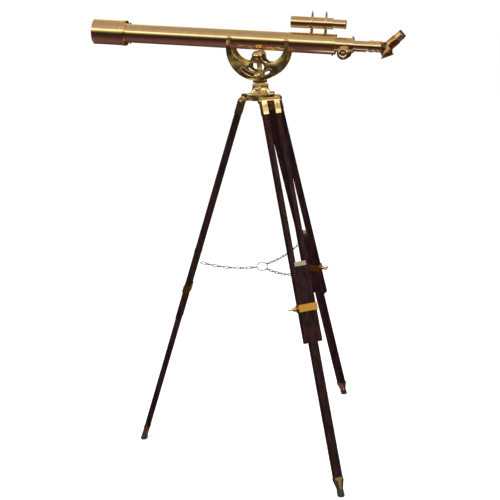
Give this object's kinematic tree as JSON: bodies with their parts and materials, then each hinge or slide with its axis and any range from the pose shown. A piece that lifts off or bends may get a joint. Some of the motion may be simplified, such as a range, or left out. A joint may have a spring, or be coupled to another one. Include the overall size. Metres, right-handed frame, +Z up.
{
  "type": "telescope",
  "caption": "Polished brass refracting telescope with finder, rack focuser and diagonal eyepiece, in a half-moon cradle on a dark wooden tripod.",
  "frame": {"origin": "on the floor, under the tripod's vertical axis", "axes": "+Z up; the tube runs along X with its objective towards -X and its eyepiece towards +X"},
  "size_m": [1.1114, 0.913, 1.6019],
  "materials": {
    "brass": "polished, lacquered",
    "dark_wood": "gloss varnish",
    "steel": "dull",
    "black_anodised": "matt black",
    "dark_brass": "darkened",
    "dark_steel": "blued",
    "bright_metal": "polished",
    "rubber": "matt",
    "lens_glass": "coated"
  },
  "bodies": {
    "tripod": {"tripod_head": "brass", "column": "brass", "hinge_bolts": "brass", "spreader_ring": "steel", "left_spreader_chain": "steel", "front_spreader_chain": "steel", "rear_spreader_chain": "steel"},
    "azimuth_knob": {"azimuth_clamp_knob": "brass"},
    "pillar": {"pillar": "brass", "altitude_axle": "brass"},
    "altitude_knob": {"altitude_clamp_knob": "brass"},
    "tube": {"cradle_front_plate": "brass", "cradle_back_plate": "brass", "trunnion_screws": "brass", "main_tube": "brass", "tail_sleeve": "brass", "dew_shield": "brass", "objective_cell": "brass", "objective_lenses": "lens_glass", "tube_baffles": "black_anodised", "focuser_body": "brass", "finder_tube": "brass", "finder_lenses": "lens_glass", "finder_brackets": "brass", "small_screws": "dark_steel"},
    "focus_shaft": {"focus_pinion": "brass", "focus_knobs": "brass"},
    "draw": {"drawtube": "brass", "focus_rack": "brass", "drawtube_collar": "brass"},
    "diagonal": {"diagonal_housing": "dark_brass", "erecting_prism": "lens_glass", "prism_cover": "dark_steel"},
    "eyepiece": {"eyepiece_barrel": "brass", "eyepiece_lenses": "lens_glass", "eyecup": "rubber"},
    "left_leg": {"left_leg_rails": "dark_wood", "left_leg_ferrules": "brass", "left_clamp_band": "brass"},
    "left_slider": {"left_leg_slider": "dark_wood", "left_slider_guide": "bright_metal", "left_foot_ferrule": "brass", "left_rubber_tip": "rubber"},
    "left_leg_knob": {"left_clamp_knob": "brass"},
    "front_leg": {"front_leg_rails": "dark_wood", "front_leg_ferrules": "brass", "front_clamp_band": "brass"},
    "front_slider": {"front_leg_slider": "dark_wood", "front_slider_guide": "bright_metal", "front_foot_ferrule": "brass", "front_rubber_tip": "rubber"},
    "front_leg_knob": {"front_clamp_knob": "brass"},
    "rear_leg": {"rear_leg_rails": "dark_wood", "rear_leg_ferrules": "brass", "rear_clamp_band": "brass"},
    "rear_slider": {"rear_leg_slider": "dark_wood", "rear_slider_guide": "bright_metal", "rear_foot_ferrule": "brass", "rear_rubber_tip": "rubber"},
    "rear_leg_knob": {"rear_clamp_knob": "brass"}
  },
  "joints": [
    {"name": "azimuth", "type": "hinge", "parent": "tripod", "child": "pillar", "pos_m": [0, 0, 1.341], "axis": [0, 0, 1], "continuous": true},
    {"name": "azimuth_clamp", "type": "hinge", "parent": "tripod", "child": "azimuth_knob", "pos_m": [0, 0, 1.341], "axis": [0, -1, 0], "range_deg": [-360, 0]},
    {"name": "altitude", "type": "hinge", "parent": "pillar", "child": "tube", "pos_m": [0, 0, 1.454], "axis": [0, 1, 0], "range_deg": [-35, 35]},
    {"name": "altitude_clamp", "type": "hinge", "parent": "pillar", "child": "altitude_knob", "pos_m": [0, 0, 1.386], "axis": [0, -1, 0], "range_deg": [-360, 0]},
    {"name": "focus_pinion", "type": "hinge", "parent": "tube", "child": "focus_shaft", "pos_m": [0.299, 0, 1.45243], "axis": [0, 1, 0], "range_deg": [-429, 429]},
    {"name": "drawtube_slide", "type": "slide", "parent": "tube", "child": "draw", "axis": [0.9962, 0, -0.0872], "range_m": [-0.045, 0.045]},
    {"name": "diagonal_turn", "type": "hinge", "parent": "draw", "child": "diagonal", "pos_m": [0.41289, 0, 1.46907], "axis": [0.9962, 0, -0.0872], "continuous": true},
    {"name": "eyepiece_slide", "type": "slide", "parent": "diagonal", "child": "eyepiece", "axis": [0.766, 0, 0.6428], "range_m": [0, 0.024]},
    {"name": "left_leg_hinge", "type": "hinge", "parent": "tripod", "child": "left_leg", "pos_m": [-0.06657, -0.00758, 1.3], "axis": [0.1132, -0.9936, 0], "range_deg": [0, 19], "deforming": ["left_spreader_chain"]},
    {"name": "left_leg_slide", "type": "slide", "parent": "left_leg", "child": "left_slider", "axis": [-0.3244, -0.037, -0.9452], "range_m": [-0.44, 0.115]},
    {"name": "left_leg_clamp", "type": "hinge", "parent": "left_leg", "child": "left_leg_knob", "pos_m": [-0.30238, -0.03445, 0.61283], "axis": [-0.1132, 0.9936, 0], "range_deg": [-360, 0]},
    {"name": "front_leg_hinge", "type": "hinge", "parent": "tripod", "child": "front_leg", "pos_m": [0.03985, -0.05386, 1.3], "axis": [0.8039, 0.5948, 0], "range_deg": [0, 19], "deforming": ["front_spreader_chain"]},
    {"name": "front_leg_slide", "type": "slide", "parent": "front_leg", "child": "front_slider", "axis": [0.1942, -0.2624, -0.9452], "range_m": [-0.44, 0.115]},
    {"name": "front_leg_clamp", "type": "hinge", "parent": "front_leg", "child": "front_leg_knob", "pos_m": [0.18103, -0.24464, 0.61283], "axis": [-0.8039, -0.5948, 0], "range_deg": [-360, 0]},
    {"name": "rear_leg_hinge", "type": "hinge", "parent": "tripod", "child": "rear_leg", "pos_m": [0.02672, 0.06144, 1.3], "axis": [-0.9171, 0.3987, 0], "range_deg": [0, 19], "deforming": ["rear_spreader_chain"]},
    {"name": "rear_leg_slide", "type": "slide", "parent": "rear_leg", "child": "rear_slider", "axis": [0.1302, 0.2994, -0.9452], "range_m": [-0.44, 0.115]},
    {"name": "rear_leg_clamp", "type": "hinge", "parent": "rear_leg", "child": "rear_leg_knob", "pos_m": [0.12135, 0.2791, 0.61283], "axis": [0.9171, -0.3987, 0], "range_deg": [-360, 0]}
  ],
  "couplings": [
    {"joint": "drawtube_slide", "follows": "focus_pinion", "m_per_rad": 0.006}
  ]
}
